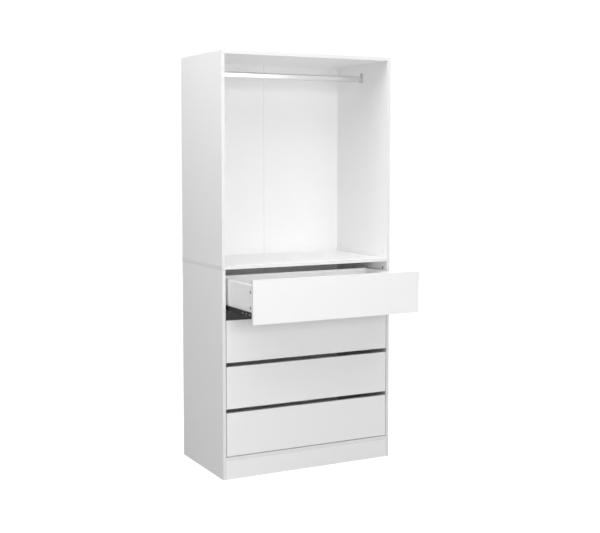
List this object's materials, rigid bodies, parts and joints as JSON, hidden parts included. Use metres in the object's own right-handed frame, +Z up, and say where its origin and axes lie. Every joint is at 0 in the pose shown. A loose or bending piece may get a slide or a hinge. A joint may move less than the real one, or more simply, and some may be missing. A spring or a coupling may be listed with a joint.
{
  "type": "open-front wardrobe",
  "caption": "Tall open-front wardrobe in white coated board: a hanging space with an oval rod above a chest of drawers on roller runners, its top drawer pulled out.",
  "frame": {"origin": "on the floor, at the middle of the wardrobe's width, in the plane of the front edges", "axes": "+X along the front to the right, seen from the front; +Y from the front to the back; +Z up"},
  "size_m": [0.902, 0.7923, 1.98],
  "materials": {
    "coated_board": "white melamine coating, matt, with white edge bands",
    "hardboard": "white printed face, matt",
    "chrome_tube": "bright plated",
    "chrome_casting": "satin plated casting",
    "paper_tape": "matt paper",
    "black_steel": "black powder coat",
    "zinc": "die-cast zinc",
    "bright_steel": "bright zinc plate",
    "white_plastic": "moulded",
    "nylon": "moulded, satin",
    "beech": "bare, fluted"
  },
  "bodies": {
    "carcass": {"upper_left_side": "coated_board", "upper_right_side": "coated_board", "top_panel": "coated_board", "upper_back": "hardboard", "hanging_rod": "chrome_tube", "rod_sockets": "chrome_casting", "lower_left_side": "coated_board", "lower_right_side": "coated_board", "middle_panel": "coated_board", "bottom_panel": "coated_board", "plinth": "coated_board", "lower_back": "hardboard", "back_fold_tapes": "paper_tape", "cabinet_rails": "black_steel", "cam_locks": "zinc", "cam_bolts": "bright_steel", "cam_caps": "white_plastic", "wood_dowels": "beech", "back_nails": "bright_steel", "carcass_screws": "bright_steel"},
    "drawer_1": {"drawer_1_front": "coated_board", "drawer_1_left_side": "coated_board", "drawer_1_right_side": "coated_board", "drawer_1_back": "coated_board", "drawer_1_bottom": "hardboard", "drawer_1_rails": "black_steel", "drawer_1_cam_fittings": "zinc", "drawer_1_screws": "bright_steel"},
    "front_rollers_1": {"front_rollers_1": "nylon"},
    "rear_rollers_1": {"drawer_1_rear_rollers": "nylon"},
    "drawer_2": {"drawer_2_front": "coated_board", "drawer_2_left_side": "coated_board", "drawer_2_right_side": "coated_board", "drawer_2_back": "coated_board", "drawer_2_bottom": "hardboard", "drawer_2_rails": "black_steel", "drawer_2_cam_fittings": "zinc", "drawer_2_screws": "bright_steel"},
    "front_rollers_2": {"front_rollers_2": "nylon"},
    "rear_rollers_2": {"drawer_2_rear_rollers": "nylon"},
    "drawer_3": {"drawer_3_front": "coated_board", "drawer_3_left_side": "coated_board", "drawer_3_right_side": "coated_board", "drawer_3_back": "coated_board", "drawer_3_bottom": "hardboard", "drawer_3_rails": "black_steel", "drawer_3_cam_fittings": "zinc", "drawer_3_screws": "bright_steel"},
    "front_rollers_3": {"front_rollers_3": "nylon"},
    "rear_rollers_3": {"drawer_3_rear_rollers": "nylon"},
    "drawer_4": {"drawer_4_front": "coated_board", "drawer_4_left_side": "coated_board", "drawer_4_right_side": "coated_board", "drawer_4_back": "coated_board", "drawer_4_bottom": "hardboard", "drawer_4_rails": "black_steel", "drawer_4_cam_fittings": "zinc", "drawer_4_screws": "bright_steel"},
    "front_rollers_4": {"front_rollers_4": "nylon"},
    "rear_rollers_4": {"drawer_4_rear_rollers": "nylon"}
  },
  "joints": [
    {"name": "drawer_1_slide", "type": "slide", "parent": "carcass", "child": "drawer_1", "axis": [0, -1, 0], "range_m": [-0.292, 0.053]},
    {"name": "front_rollers_1_spin", "type": "hinge", "parent": "carcass", "child": "front_rollers_1", "pos_m": [0, 0.028, 0.8055], "axis": [1, 0, 0], "continuous": true},
    {"name": "rear_rollers_1_spin", "type": "hinge", "parent": "drawer_1", "child": "rear_rollers_1", "pos_m": [0, 0.164, 0.8015], "axis": [1, 0, 0], "continuous": true},
    {"name": "drawer_2_slide", "type": "slide", "parent": "carcass", "child": "drawer_2", "axis": [0, -1, 0], "range_m": [0, 0.345]},
    {"name": "front_rollers_2_spin", "type": "hinge", "parent": "carcass", "child": "front_rollers_2", "pos_m": [0, 0.028, 0.589], "axis": [1, 0, 0], "continuous": true},
    {"name": "rear_rollers_2_spin", "type": "hinge", "parent": "drawer_2", "child": "rear_rollers_2", "pos_m": [0, 0.456, 0.585], "axis": [1, 0, 0], "continuous": true},
    {"name": "drawer_3_slide", "type": "slide", "parent": "carcass", "child": "drawer_3", "axis": [0, -1, 0], "range_m": [0, 0.345]},
    {"name": "front_rollers_3_spin", "type": "hinge", "parent": "carcass", "child": "front_rollers_3", "pos_m": [0, 0.028, 0.3725], "axis": [1, 0, 0], "continuous": true},
    {"name": "rear_rollers_3_spin", "type": "hinge", "parent": "drawer_3", "child": "rear_rollers_3", "pos_m": [0, 0.456, 0.3685], "axis": [1, 0, 0], "continuous": true},
    {"name": "drawer_4_slide", "type": "slide", "parent": "carcass", "child": "drawer_4", "axis": [0, -1, 0], "range_m": [0, 0.345]},
    {"name": "front_rollers_4_spin", "type": "hinge", "parent": "carcass", "child": "front_rollers_4", "pos_m": [0, 0.028, 0.156], "axis": [1, 0, 0], "continuous": true},
    {"name": "rear_rollers_4_spin", "type": "hinge", "parent": "drawer_4", "child": "rear_rollers_4", "pos_m": [0, 0.456, 0.152], "axis": [1, 0, 0], "continuous": true}
  ],
  "couplings": [
    {"joint": "front_rollers_1_spin", "follows": "drawer_1_slide", "rad_per_m": 117.65},
    {"joint": "rear_rollers_1_spin", "follows": "drawer_1_slide", "rad_per_m": 117.65},
    {"joint": "front_rollers_2_spin", "follows": "drawer_2_slide", "rad_per_m": 117.65},
    {"joint": "rear_rollers_2_spin", "follows": "drawer_2_slide", "rad_per_m": 117.65},
    {"joint": "front_rollers_3_spin", "follows": "drawer_3_slide", "rad_per_m": 117.65},
    {"joint": "rear_rollers_3_spin", "follows": "drawer_3_slide", "rad_per_m": 117.65},
    {"joint": "front_rollers_4_spin", "follows": "drawer_4_slide", "rad_per_m": 117.65},
    {"joint": "rear_rollers_4_spin", "follows": "drawer_4_slide", "rad_per_m": 117.65}
  ]
}
